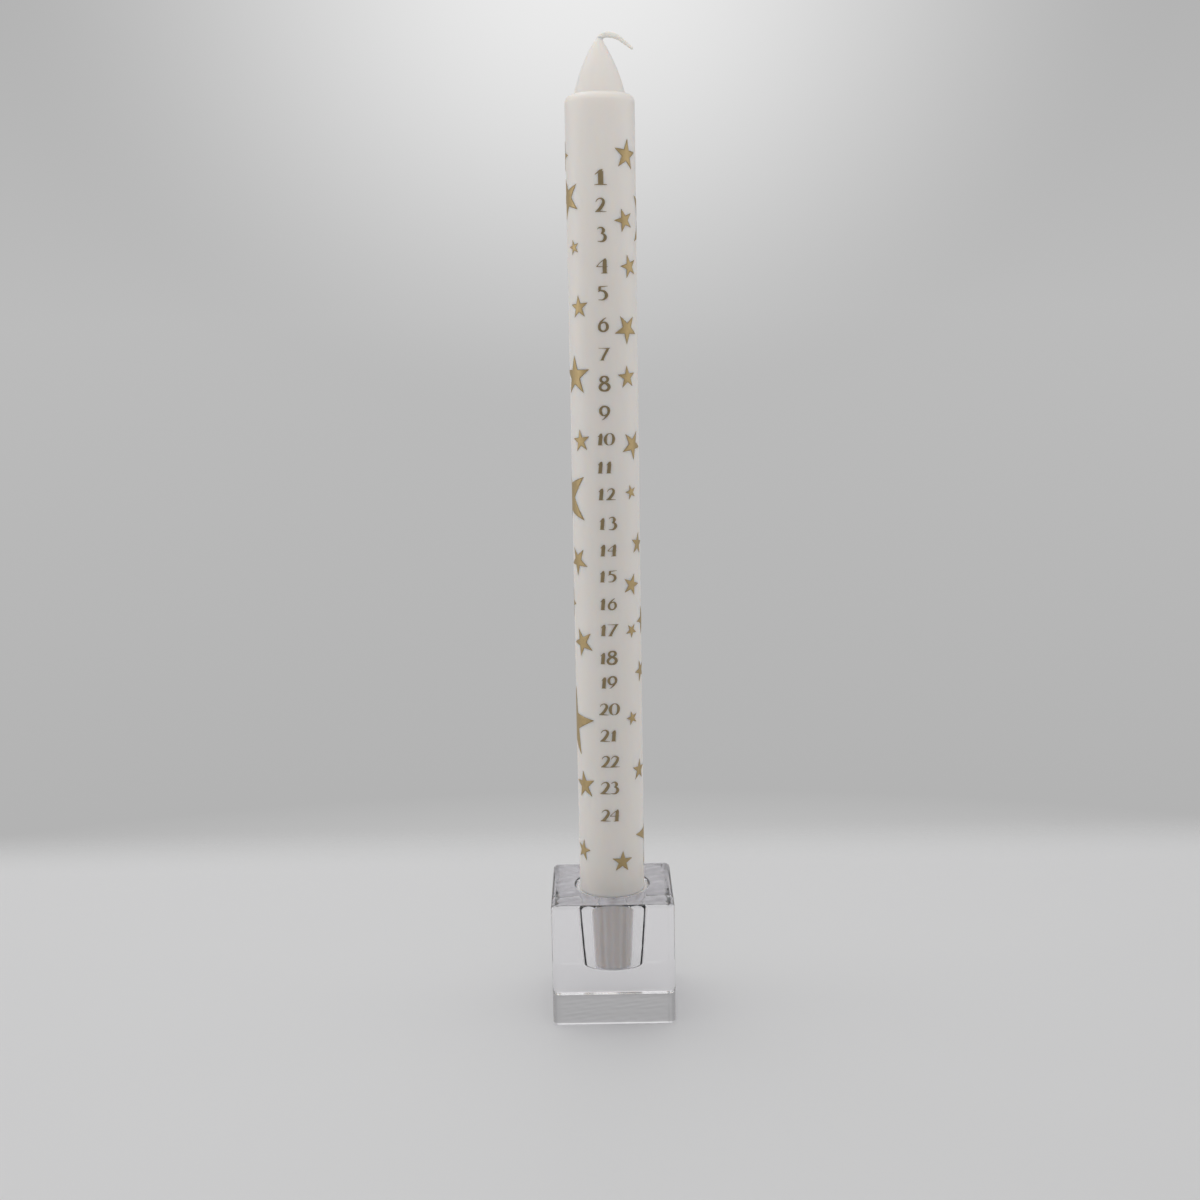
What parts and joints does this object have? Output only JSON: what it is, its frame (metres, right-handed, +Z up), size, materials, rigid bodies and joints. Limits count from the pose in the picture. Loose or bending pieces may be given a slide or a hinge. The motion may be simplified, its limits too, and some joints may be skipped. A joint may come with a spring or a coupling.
{
  "type": "calendar candle with glass holder",
  "caption": "Tall dipped candle with a tapered fluted foot, printed stars down its side and a curled wick, standing in a square pressed glass block that it lifts out of.",
  "frame": {"origin": "middle of the glass block's underside, where it stands on the table", "axes": "+Z up along the candle, -Y towards the side that carries the numbers, +X to the right of the numbers, towards the wick's free end"},
  "size_m": [0.041, 0.041, 0.3199],
  "materials": {
    "glass": "clear pressed glass, polished, with rounded edges",
    "core_wax": "pressed candle wax, stands in for wax",
    "coat_wax": "smooth dipped candle wax with a soft sheen, stands in for wax",
    "cotton": "braided cotton stiffened with wax",
    "gold_print": "thin gold coloured metallic print"
  },
  "bodies": {
    "holder": {"glass_holder": "glass"},
    "candle": {"wax_core": "core_wax", "dip_coat": "coat_wax", "wick": "cotton", "stars_small": "gold_print", "stars_medium": "gold_print", "stars_large": "gold_print", "stars_extra_large": "gold_print", "stars_giant": "gold_print"}
  },
  "joints": [
    {"name": "candle_lift", "type": "slide", "parent": "holder", "child": "candle", "axis": [0, 0, 1], "range_m": [0, 0.035]}
  ]
}
